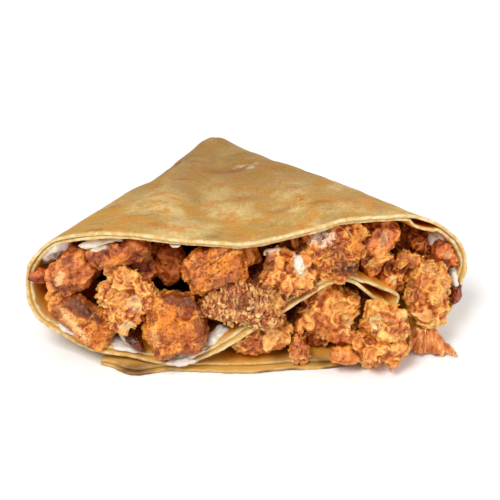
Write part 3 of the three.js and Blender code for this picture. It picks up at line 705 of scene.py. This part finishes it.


# Pieces of food, made finer from their CAD solids

# For each style: voxel size, rounds of smoothing, warp, broad relief, flakes (size, height, tilt and
# sharpness), folds (size and height), fibres (width, length and height), fine relief, how much the
# ridges are sharpened, and the colours of hollows, flats and ridges, which the warmth scales. The
# colours of the hollows are painted shade and those of the ridges a painted highlight.
WARMTH = (1, 0.95, 0.76)
STYLES = {
    "crusty": dict(
        voxel=0.45, smoothing=5, warp=1.0, broad=0.7, flakes=((6.5, 1.7, 1.4, 7), (2.6, 0.5, 1.4, 10)),
        folds=(4.6, 0.9), fine=0.24, ridges=0.4, colors=((134, 56, 20), (204, 120, 56), (244, 184, 110)),
    ),
    "shaggy": dict(
        voxel=0.38, smoothing=5, warp=1.0, broad=0.7, flakes=((6, 1.0, 1.2, 6),), folds=(3.6, 0.5),
        fibres=(0.8, 5.0, 0.55), fine=0.14, colors=((112, 46, 18), (192, 108, 54), (246, 200, 140)),
    ),
    "seared": dict(
        voxel=0.43, smoothing=6, warp=0.8, broad=0.8, flakes=((7, 1.4, 1.1, 6), (2.3, 0.3, 1.2, 9)),
        folds=(5.5, 0.3), fine=0.2, ridges=0.15, colors=((104, 40, 14), (196, 108, 54), (232, 156, 92)),
    ),
    "grilled": dict(
        voxel=0.41, smoothing=6, warp=0.8, broad=0.8, flakes=((7, 1.2, 1.1, 6), (2.4, 0.28, 1.2, 9)),
        folds=(5, 0.2), fibres=(1.0, 6.0, 0.1), fine=0.18, ridges=0.2,
        colors=((132, 56, 18), (208, 122, 46), (240, 172, 90)),
    ),
    "flaky": dict(
        voxel=0.43, smoothing=5, warp=1.4, broad=1.0, flakes=((8, 1.6, 1.3, 6), (3.4, 0.4, 1.3, 9)),
        folds=(6.4, 0.9), fine=0.15, ridges=0.5, colors=((158, 70, 22), (214, 132, 60), (248, 196, 116)),
    ),
    "fan": dict(
        voxel=0.34, smoothing=4, warp=0.4, broad=0.3, flakes=((4.5, 0.3, 1.0, 6),), folds=(6, 0.4),
        fibres=(2.2, 12.0, 0.55), fine=0.07, colors=((164, 82, 38), (220, 144, 84), (252, 216, 162)),
    ),
    # The packed filling deep in the mouth is coloured nearly black: painted shade
    "core": dict(
        voxel=1.2, smoothing=2, warp=1.0, broad=1.2, flakes=((7, 1.6, 1.0, 8),), folds=(5, 0.5),
        fine=0.4, colors=((28, 8, 5), (64, 22, 11), (98, 40, 18)),
    ),
    "burnt": dict(
        voxel=0.34, smoothing=5, warp=0.5, broad=0.5, flakes=((2.2, 0.5, 1.2, 8),), folds=(2.4, 0.3),
        fine=0.15, colors=((60, 20, 10), (120, 48, 22), (186, 96, 48)),
    ),
    "sauce": dict(
        voxel=0.5, smoothing=12, warp=0.8, broad=1.0, flakes=((3.4, 0.7, 1.0, 5),), folds=(5, 0.2),
        fine=0.03, warmth=(1, 1, 1), colors=((206, 196, 178), (226, 218, 204), (236, 230, 218)),
    ),
}
STYLE_OF = {
    "crusty_centre": "shaggy", "batter_fan": "fan", "crusty_left": "seared", "crusty_top_left": "seared",
    "crusty_mid_back": "seared", "nub_far_left": "seared", "round_far_right": "seared",
    "smooth_top_right": "seared", "smooth_low_front": "grilled", "crumb_low_centre": "crusty",
}

# How far a lump of sauce lies back from its CAD solid, usually and where it lies further back
USUAL_BACK = 0.8
SAUCE_BACK = {"sauce_right_centre": 2.4, "sauce_top_centre": 2.5}

# The burnt bit lies on the sauce, so it is drawn a little nearer to the mouth than its CAD solid.
BURNT_FORWARD = 1.5
BURNT_WETNESS = 0.5

# How much a piece's surface lies inside its CAD solid, where the solid comes too near the rim
THINNED = {"flaky_far_right": 1.2}

# Pieces whose middle is at least this wide get their style's full relief.
FULL_RELIEF_SIZE = 13

# Rounds of averaging, against which ridges, near hollows and wide hollows stand out
RIDGE_ROUNDS = 10
NEAR_ROUNDS = 16
WIDE_ROUNDS = 90

# Grilled pieces with fine dark specks
SPECKLED = ("grilled_low_centre", "grilled_top_centre", "grilled_low_left")

# Loose chips of crust: name, the styles of the pieces they stand on, slot, count, shortest and
# longest in millimetres, how unevenly they stand, and the seed
CHIPS = (
    ("crust_chips", ("crusty",), "crusty", 600, (0.6, 1.5), 0.6, 5),
    ("crust_strands", ("shaggy",), "crusty", 380, (0.8, 2.2), 0.7, 6),
    ("seared_crumbs", ("seared",), "crusty", 120, (0.5, 1.1), 0.6, 7),
    ("batter_chips", ("flaky",), "flaky", 130, (0.8, 2.2), 0.6, 8),
)

# Single flakes of batter that stand out from the pieces: place across, up and out on the leaning
# face, length, width, turn in degrees from straight up, lean towards the mouth, curl and colour
CURLS = (
    (-57.4, -9.4, 91.0, 8, 6.5, 8, 0.5, 0.5, "flake"),
    (-51.0, -10.2, 89.5, 6, 4.5, -30, 0.5, 0.7, "flake"),
    (-62.4, -15.8, 92.0, 5, 4.5, 60, 0.6, 0.5, "flake"),
    (-46.8, -21.0, 92.5, 5, 4, -80, 0.6, 0.6, "flake"),
    (-53.6, -29.6, 93.4, 5, 4.6, 160, 0.4, 0.5, "cream"),
    (52.0, -5.0, 87.6, 7, 3, -60, 0.5, 0.7, "gold"),
    (57.6, -3.0, 86.2, 7, 2.6, -70, 0.4, 0.6, "gold"),
    (40.6, -30.0, 89.5, 11, 3.2, 8, 0.9, 0.5, "flake"),
    (9.3, -35.8, 91.0, 8, 7, -20, 0.4, 0.5, "flake"),
    (51.6, -28.8, 94.6, 7, 4.5, 40, 0.8, 0.8, "cream"),
    (57.0, -29.8, 94.6, 6, 3.6, -40, 0.8, 0.8, "flake"),
    (77.0, -8.0, 82.0, 7, 5, 10, 0.6, 0.5, "flake"),
    (83.4, -13.0, 83.5, 6, 5, -60, 0.6, 0.5, "flake"),
    (75.6, -28.0, 84.0, 8, 4, -100, 0.6, 0.6, "flake"),
    (65.5, -6.0, 77.6, 7, 2.4, -40, 0.5, 0.6, "gold"),
    (41.0, 7.6, 98.8, 5, 0.8, 35, 0.4, 0.9, "cream"),
    (43.6, 4.2, 99.3, 6, 0.7, -20, 0.4, 0.9, "cream"),
    (40.6, 3.0, 99.3, 4, 0.7, 70, 0.4, 0.9, "cream"),
)
CURL_THICKNESS = 0.28

# Up to this many flakes in one mesh are drawn with more faces.
FEW_FLAKES = 100

# What each piece looks like beside its style: a tint, then marks on the leaning face. A mark has a
# colour, its place across and up from the piece's middle, its half sizes, its turn in degrees and
# its strength.
TINTS = {
    "crusty_front_left": (1.04, 1.08, 1.1), "crusty_centre": (0.88, 0.9, 0.92),
    "crusty_left": (0.98, 1.0, 0.96), "crusty_top_left": (0.84, 0.8, 0.72),
    "crusty_mid_back": (0.8, 0.62, 0.5), "grilled_left_back": (0.8, 0.6, 0.54),
    "crusty_upper_right": (0.92, 0.82, 0.72), "smooth_top_right": (1.08, 1.1, 1.0),
    "smooth_low_front": (1.05, 1.05, 1.15), "round_far_right": (0.94, 0.82, 0.76),
    "charred_right": (0.95, 0.9, 0.72), "crusty_centre_back": (0.66, 0.46, 0.36),
    "back_centre": (0.6, 0.4, 0.3), "back_mid_right": (0.66, 0.46, 0.36),
    "back_low_right": (0.8, 0.62, 0.54), "back_top_right": (0.95, 0.82, 0.6),
    "crusty_small_right": (0.9, 0.76, 0.62), "nub_far_left": (0.98, 0.82, 0.7),
    "grilled_low_centre": (1.0, 1.0, 0.9),
}
PAINTS = {
    "char": (66, 22, 8), "brown": (118, 50, 18), "red": (164, 70, 28), "orange": (226, 134, 34),
    "gold": (238, 176, 92), "flake": (236, 172, 100), "cream": (240, 206, 148),
    "sauce": (226, 218, 204),
}
MARKS = {
    "crusty_front_left": [
        ("cream", 3, -1.5, 3.2, 4.5, 20, 0.6), ("cream", 0.5, -11.5, 3.6, 2.6, 0, 0.95),
        ("gold", -4, 2, 4, 6, 0, 0.4), ("gold", -1, 10, 2.5, 3, 0, 0.6),
    ],
    "crusty_left": [
        ("cream", -4.6, -3.4, 1.8, 3.4, -20, 0.6), ("brown", -1, 4.5, 3.4, 1.8, 30, 0.8),
        ("red", 4, -1, 3, 4, 0, 0.4), ("gold", -5, 2, 2, 2, 0, 0.35), ("brown", 0, -8, 6, 1.4, 0, 0.6),
    ],
    "crusty_top_left": [
        ("brown", 4, -1, 6, 2.5, 0, 0.3), ("sauce", -8, 2.6, 5.5, 1.8, 0, 0.85),
        ("orange", 1, -2, 3, 1.6, 20, 0.5),
    ],
    "crusty_mid_back": [("gold", 4, 4, 2, 6, -20, 0.7), ("char", -3, -3, 4, 3, 0, 0.6)],
    "grilled_left_back": [("char", 0, -9, 9, 3, 0, 0.7), ("red", 0, 4, 4, 5, 0, 0.4)],
    "grilled_low_left": [
        ("brown", 1, 4.4, 11, 4.2, -38, 0.85), ("char", 1.5, 4.0, 7.5, 2.2, -40, 0.75),
        ("char", 5.6, 1.2, 2.6, 1.4, -30, 0.85), ("char", -8, 5.6, 3, 1.2, 0, 0.6),
        ("flake", -2.6, -3, 10, 3, -47, 0.7), ("cream", -2.2, -3, 8.5, 1.2, -47, 0.55),
        ("red", -6, -5, 9, 0.8, -47, 0.5),
        ("orange", 8.2, -8, 3.4, 3.4, 0, 0.5), ("brown", -10, 2, 2.4, 2.4, 0, 0.6),
    ],
    "grilled_low_centre": [
        ("brown", 4, 10, 11, 3.4, -16, 0.85), ("char", 6, 10.5, 5, 1.6, -16, 0.5),
        ("brown", 11, 0, 2.6, 9, 0, 0.75), ("brown", 4, -12, 9, 1.8, 10, 0.7),
        ("orange", -2, 1, 5, 6, 20, 0.6), ("red", 6, -4, 4, 4, 30, 0.5), ("brown", -10, 4, 1.4, 5, 10, 0.5),
        ("flake", -8.4, -5, 2.2, 4.4, 10, 0.6), ("red", 5, 4, 3, 3, 0, 0.4),
    ],
    "grilled_top_centre": [
        ("orange", 1, 1.6, 8, 3.6, 28, 0.55), ("char", -0.2, 2.2, 6.6, 0.4, 35, 0.95),
        ("char", 0, -2.8, 4.4, 0.36, 35, 0.85), ("char", -5, 1, 3, 0.3, 35, 0.7),
        ("char", 3, 5.4, 5, 0.7, 20, 0.8), ("brown", 3, -6.5, 6, 2.4, 20, 0.6),
        ("gold", -9, 4, 1.6, 3, 0, 0.5), ("brown", -9, -5, 2.4, 3, 0, 0.5), ("red", 9, 0, 2, 6, 0, 0.5),
    ],
    "crusty_centre": [
        ("brown", -2, 0, 7, 3.6, -14, 0.35), ("gold", 14, -1, 3, 4.6, 0, 0.6),
        ("gold", -13, 3, 3, 3, 0, 0.4), ("red", 9, -4, 1.4, 3.6, 10, 0.7), ("cream", 4, -2, 3, 1.2, 40, 0.4),
    ],
    "crusty_right_centre": [
        ("sauce", 3.4, 3.6, 1.6, 5.4, 16, 0.95), ("cream", 3.8, 1.4, 3, 4.6, 20, 0.7),
        ("orange", -4, 3, 4, 3, 30, 0.4), ("gold", 5, -4, 5, 2.6, 0, 0.4), ("brown", -9, 4, 3, 4, 0, 0.7),
    ],
    "charred_right": [
        ("sauce", -6, 5, 5.4, 4, 20, 0.55), ("char", 4.6, -7.6, 8, 3, 12, 0.85),
        ("char", 8.6, -8, 4, 3, 0, 0.7), ("orange", 8.4, 2, 2.4, 6, 0, 0.6),
        ("brown", 0, -1, 5, 4, 0, 0.5), ("char", 0.4, 2.4, 4, 0.6, 20, 0.7),
    ],
    "smooth_top_right": [
        ("gold", 0, -6, 5, 2.4, 40, 0.7), ("brown", -5, 3, 1.6, 6, -20, 0.5),
        ("cream", 2, 3, 2, 5, -20, 0.3),
    ],
    "flaky_far_right": [
        ("gold", 4, 2, 3.6, 8, 0, 0.6), ("cream", -1, 11, 3, 2, 0, 0.5), ("brown", -7, 2, 1.6, 8, 0, 0.4),
        ("red", -1, -7, 2, 0.8, 30, 0.5), ("red", -3, -10, 6, 1.6, 10, 0.5),
    ],
    "crusty_low_right": [
        ("gold", -3.6, 0.6, 3.6, 3.4, 40, 0.6), ("cream", -4, -1.6, 2.6, 0.8, -50, 0.7),
        ("red", 4, -2, 3, 5, 20, 0.35), ("cream", 8, 4, 2, 2, 0, 0.5),
    ],
    "flaky_low_front": [
        ("gold", 8, 1.4, 1.8, 3.6, 0, 0.6), ("red", -3, -5.6, 1.6, 1, 0, 0.8),
        ("red", 2, -3, 5, 1.4, 15, 0.45),
    ],
    "flaky_mid_right": [
        ("gold", 4.6, 1.4, 3, 4.6, 30, 0.7), ("cream", 8.6, -7, 1, 4, -8, 0.6),
        ("red", -6, -2, 3, 2, 0, 0.4), ("red", 0, -9, 6, 2, 20, 0.4), ("orange", -2, 9, 4, 2, 0, 0.4),
    ],
    "flaky_low_centre": [
        ("red", -2, -2, 7, 2.4, 12, 0.6), ("gold", -10.5, -4.6, 2.4, 1.8, 0, 0.6),
        ("brown", 4, 4, 4, 1.4, 20, 0.5),
    ],
    "flaky_lobe_centre": [("gold", 0, 1, 3.6, 2.6, -20, 0.7), ("brown", 1.6, -1.6, 1.6, 1, 0, 0.5)],
    "crusty_upper_right": [
        ("cream", -3, -4, 1.8, 1.8, 0, 0.7), ("brown", 4, 2, 4, 3, 0, 0.5), ("brown", -6, 4, 2, 3, 0, 0.5),
    ],
    "round_far_right": [("cream", 1.4, -1, 2, 2, 0, 0.4), ("brown", -5, -3, 2, 4, 0, 0.5)],
    "crumb_low_centre": [("red", 0, -2, 4, 5, 0, 0.6)],
    "flaky_low_bit": [("red", 0, 0, 4, 4, 0, 0.5)],
}


def smoothed(values, edges, times):
    """Values at points, averaged with their neighbours again and again."""
    count = len(values)
    a, b = edges.T
    links = np.bincount(a, minlength=count) + np.bincount(b, minlength=count)
    for _ in range(times):
        total = np.stack([
            np.bincount(a, values[b, k], count) + np.bincount(b, values[a, k], count)
            for k in range(values.shape[1])
        ], axis=1)
        values = 0.5 * values + 0.5 * total / np.maximum(links, 1)[:, None]
    return values


def read(collection, name, width, kind=np.float32):
    """A value of every point or edge, as rows of the given width."""
    values = np.zeros(len(collection) * width, kind)
    collection.foreach_get(name, values)
    return values.reshape(-1, width)


def remeshed(node, voxel):
    """A copy of a CAD node's mesh with small even faces."""
    copy = placed("copy", frame["nodes"][node].data.copy())
    change = copy.modifiers.new("remesh", "REMESH")
    change.mode = "VOXEL"
    change.voxel_size = voxel * MM
    graph = bpy.context.evaluated_depsgraph_get()
    mesh = bpy.data.meshes.new_from_object(copy.evaluated_get(graph))
    bpy.data.objects.remove(copy)
    mesh.materials.clear()
    return mesh


def on_face(points):
    """Places across and up the leaning face of the filling."""
    return np.stack([points[:, 0], points @ FACE_UP], axis=1)


def painted(points, hollow, style, node, seed):
    """The colour of each point, from how deep it lies in the relief, with painted shade in the hollows and a
    painted highlight on the ridges, and from its piece's marks.
    """
    low, middle, high = (srgb(*c) for c in style["colors"])
    blotch = 0.5 * noise(points / 8, seed + 60) + 0.36 * noise(points / 3.4, seed + 61)
    blotch += 0.24 * noise(points / 1.3, seed + 62)
    # Painted shade in the hollows and a painted highlight on the ridges, over blotches of the food's own
    # tone
    tone = np.clip(0.48 + 0.62 * hollow + 0.6 * blotch, 0, 1)[:, None]
    color = np.where(tone < 0.5, low + (middle - low) * tone * 2, middle + (high - middle) * (tone * 2 - 1))
    color = color * np.array(TINTS.get(node, (1, 1, 1))) * np.array(style.get("warmth", WARMTH))
    wet = np.zeros(len(points))
    face = on_face(points)
    centre = (face.min(0) + face.max(0)) / 2
    ragged = 0.5 * noise(points / 2.2, seed + 73) + 0.3 * noise(points / 0.9, seed + 74) + 0.2 * hollow
    for paint, across, up, width, height, turn, strength in MARKS.get(node, ()):
        away = face - centre - np.array([across, up])
        c, s = math.cos(math.radians(turn)), math.sin(math.radians(turn))
        x = (away[:, 0] * c + away[:, 1] * s) / width
        y = (away[:, 1] * c - away[:, 0] * s) / height
        field = np.exp(-(x**2 + y**2)) * (1 + ragged)
        share = np.clip(strength * smooth(0.25, 0.6, field), 0, 1)[:, None]
        if paint == "char":
            share = share * (0.45 + 0.55 * smooth(-0.25, 0.2, noise(points / 0.9, seed + 76)))[:, None]
        color = color * (1 - share) + srgb(*PAINTS[paint]) * share
        if paint == "sauce":
            wet = np.maximum(wet, share[:, 0])
    if node in SPECKLED:
        speck = smooth(0.42, 0.6, noise(points / 0.62, seed + 75))[:, None] * 0.7
        color = color * (1 - speck) + srgb(*PAINTS["char"]) * speck
    return np.clip(color, 0, 1), wet


def relief_of(points, style, seed):
    """How far each point of a piece moves out: broad bumps, flakes, folds, fibres and fine crags."""
    warped = points + style["warp"] * noise_vectors(points / 2.6, seed)
    relief = style["broad"] * rough_noise(points / 6, seed + 5, 2)
    for k, (size, height, tilt, sharp) in enumerate(style["flakes"]):
        relief += height * facets(warped / size, seed + 11 + 20 * k, tilt, sharp)
    size, height = style["folds"]
    relief += height * folds(warped / size, seed + 41)
    if "fibres" in style:
        width, length, height = style["fibres"]
        across = on_face(points + 1.4 * noise_vectors(points / 3.5, seed + 31))
        strand = np.stack([across[:, 0] / width, across[:, 1] / length, warped[:, 1] / length], axis=1)
        relief += height * rough_noise(strand, seed + 33, 2, ridged=True)
    return relief + style["fine"] * rough_noise(warped / 1.3, seed + 50, 3, ridged=True)


def finished_piece(mesh, name, material, color, wet):
    """A shaded object of food with its painted colours."""
    paint = mesh.attributes.new("paint", "FLOAT_COLOR", "POINT")
    opaque = np.column_stack([color, np.ones(len(color))])
    paint.data.foreach_set("color", opaque.astype(np.float32).ravel())
    set_mask(mesh, "wet", wet)
    obj = new_object(name, mesh, material)
    return obj


def make_piece(node, slot, material, seed):
    """A piece of food with its crags, flakes and colours, made from its CAD solid."""
    kind = STYLE_OF.get(node, slot)
    style = STYLES[kind]
    mesh = remeshed(node, style["voxel"])
    edges = read(mesh.edges, "vertices", 2, np.int32)
    points = smoothed(read(mesh.vertices, "co", 3).astype(float) / MM, edges, style["smoothing"])
    mesh.vertices.foreach_set("co", (points * MM).astype(np.float32).ravel())
    mesh.update()
    normals = read(mesh.vertex_normals, "vector", 3)
    relief = relief_of(points, style, seed)
    relief *= min(1, np.median(np.ptp(points, axis=0)) / FULL_RELIEF_SIZE)
    relief += style.get("ridges", 0) * (relief - smoothed(relief[:, None], edges, RIDGE_ROUNDS)[:, 0])
    if kind != "sauce":
        relief -= np.median(relief) + THINNED.get(node, 0)
    moved = points + normals * relief[:, None]
    moved += 0.45 * style["warp"] * noise_vectors(points / 1.7, seed + 57)
    moved[:, 2] = np.maximum(moved[:, 2], LOWEST_FOOD)
    # How far each point stands out from its neighbours, which sets the painted shade in hollows and painted
    # highlight on ridges
    near = relief - smoothed(relief[:, None], edges, NEAR_ROUNDS)[:, 0]
    wide = relief - smoothed(relief[:, None], edges, WIDE_ROUNDS)[:, 0]
    hollow = near + 0.6 * wide
    color, wet = painted(moved, hollow, style, node, seed)
    if kind == "sauce":
        wet = np.full(len(moved), SAUCE_WETNESS)
        moved = moved - FACE_OUT * SAUCE_BACK.get(node, USUAL_BACK)
    if node == "burnt_bit":
        wet = np.full(len(moved), BURNT_WETNESS)
        moved = moved + FACE_OUT * BURNT_FORWARD
    mesh.vertices.foreach_set("co", (moved * MM).astype(np.float32).ravel())
    mesh.update()
    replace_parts(finished_piece(mesh, node + "_food", material, color, wet), node)
    normals = read(mesh.vertex_normals, "vector", 3)
    return dict(kind=kind, points=moved, normals=normals, hollow=hollow, color=color)


def flakes(name, material, places, along, out, length, proportions, curl, color, rng):
    """One mesh of thin curled flakes, each with its own place, directions, size and colour."""
    count = len(places)
    ball = bmesh.new()
    bmesh.ops.create_icosphere(ball, subdivisions=2 if count > FEW_FLAKES else 4, radius=1)
    base = np.array([v.co[:] for v in ball.verts])
    base_faces = np.array([[v.index for v in f.verts] for f in ball.faces])
    ball.free()
    ripple = (base + rng.uniform(-50, 50, (count, 1, 3))).reshape(-1, 3)
    edge = 1 + 0.5 * noise(ripple * 1.1) + 0.34 * noise(ripple * 3.3)
    shape = base * proportions[:, None] * edge.reshape(count, -1, 1)
    shape[:, :, 2] += 0.14 * noise(ripple * 2).reshape(count, -1)
    shape[:, :, 2] += curl * (shape[:, :, 0] ** 2 + 0.4 * shape[:, :, 1] ** 2) * 2
    along = unit(along - out * (along * out).sum(1)[:, None])
    turn = np.stack([along, np.cross(out, along), out], axis=1)
    points = places[:, None] + np.einsum("nij,njk->nik", shape * length[:, None, None], turn)
    points = points.reshape(-1, 3)
    faces = base_faces[None] + (np.arange(count) * len(base))[:, None, None]
    mesh = new_mesh(name, points, faces.reshape(-1, 3))
    color = np.repeat(color, len(base), axis=0) * (1 + 0.3 * noise(points / 1.1, 91))[:, None]
    finished_piece(mesh, name, material, np.clip(color, 0, 1), np.zeros(len(color)))


def scatter_chips(name, kinds, material, pieces, count, length, stand, seed):
    """Thin chips of crust that stand on the ridges of the pieces, seen from the mouth."""
    rng = np.random.default_rng(seed)
    chosen = [p for p in pieces if p["kind"] in kinds]
    points, normals, hollow, color = (
        np.concatenate([p[key] for p in chosen]) for key in ("points", "normals", "hollow", "color")
    )
    chance = smooth(-0.2, 0.3, normals @ FACE_OUT) * smooth(-0.3, 0.6, hollow) * smooth(1, 4, points[:, 2])
    pick = rng.choice(len(points), count, replace=False, p=chance / chance.sum())
    length = rng.uniform(*length, count)
    out = unit(normals[pick] + stand * rng.normal(size=(count, 3)))
    flakes(
        name, material, points[pick] + normals[pick] * (length * 0.12)[:, None],
        rng.normal(size=(count, 3)), out, length,
        rng.uniform((0.5, 0.3, 0.09), (0.62, 0.55, 0.14), (count, 3)), rng.uniform(0.2, 0.9, (count, 1)),
        color[pick] * rng.uniform(0.85, 1.2, (count, 1)), rng,
    )


def make_curls(material):
    """The single flakes of batter that stand out from the pieces."""
    rng = np.random.default_rng(12)
    across, up, out, length, width, turn, lean, curl = np.array([row[:-1] for row in CURLS]).T
    places = ACROSS * across[:, None] + FACE_UP * up[:, None] + FACE_OUT * out[:, None]
    turn = np.radians(turn)
    along = FACE_UP * np.cos(turn)[:, None] - ACROSS * np.sin(turn)[:, None]
    thick = CURL_THICKNESS / length
    flakes(
        "batter_curls", material, places, along + FACE_OUT * lean[:, None],
        unit(FACE_OUT - along * lean[:, None]), length,
        np.stack([0.5 + 0 * length, width / length / 2, thick], axis=1), curl[:, None],
        np.array([srgb(*PAINTS[row[-1]]) for row in CURLS]), rng,
    )


def make_filling():
    """All the pieces of chicken and sauce, with their smears, chips and flakes."""
    materials = {slot: painted_material(*row) for slot, row in PAINTED.items()}
    pieces = []
    for seed, row in enumerate(frame["record"]["subparts"]):
        if row["node"] != "crepe":
            slot = row["material_slot"]
            pieces.append(make_piece(row["node"], slot, materials[slot], 200 * seed))
    for seed, name in enumerate(SMEARS):
        make_smear(name, materials["sauce"], 10 * seed)
    for name, kinds, slot, count, length, stand, seed in CHIPS:
        scatter_chips(name, kinds, materials[slot], pieces, count, length, stand, seed)
    make_curls(materials["flaky"])


# The studio

# Soft lights: name, place in metres, size in metres and power in watts
LIGHTS = (
    ("key", (-0.35, -0.7, 1.0), 0.5, 11.5),
    ("fill", (0.8, -0.5, 0.5), 0.7, 4),
    ("back", (0.1, 0.8, 0.8), 0.7, 3.5),
)
WORLD_STRENGTH = 0.4
FLOOR_CORNERS = ((-3000, -3000, 0), (3000, -3000, 0), (3000, 3000, 0), (-3000, 3000, 0))


def make_camera():
    """The camera at the photograph's angle."""
    camera = placed("camera", bpy.data.cameras.new("camera"))
    camera.location = Vector(FACE_OUT) * CAMERA_DISTANCE * MM
    camera.rotation_euler = (math.pi / 2 - CAMERA_ELEVATION, 0, 0)
    camera.data.sensor_width = SENSOR
    camera.data.lens = LENS
    bpy.context.scene.camera = camera


def make_light(name, place, size, power):
    """A square light that faces the object."""
    light = placed(name, bpy.data.lights.new(name, "AREA"))
    light.data.size = size
    light.data.energy = power
    light.location = place
    light.rotation_euler = (-Vector(place)).to_track_quat("-Z", "Y").to_euler()


def make_studio():
    """Camera, lights, white surroundings and a pale floor."""
    make_camera()
    for row in LIGHTS:
        make_light(*row)
    world = bpy.data.worlds.new("studio")
    world.use_nodes = True
    background = world.node_tree.nodes["Background"].inputs
    background["Color"].default_value = (1, 1, 1, 1)
    background["Strength"].default_value = WORLD_STRENGTH
    bpy.context.scene.world = world
    bpy.context.scene.view_settings.view_transform = "Standard"
    material = Shader("pale_floor").surface(srgb(250, 250, 250), 0.9)
    floor = new_object("floor", new_mesh("floor", FLOOR_CORNERS, [(0, 1, 2, 3)]), material)


make_crepe(crepe_material())
make_filling()
make_studio()
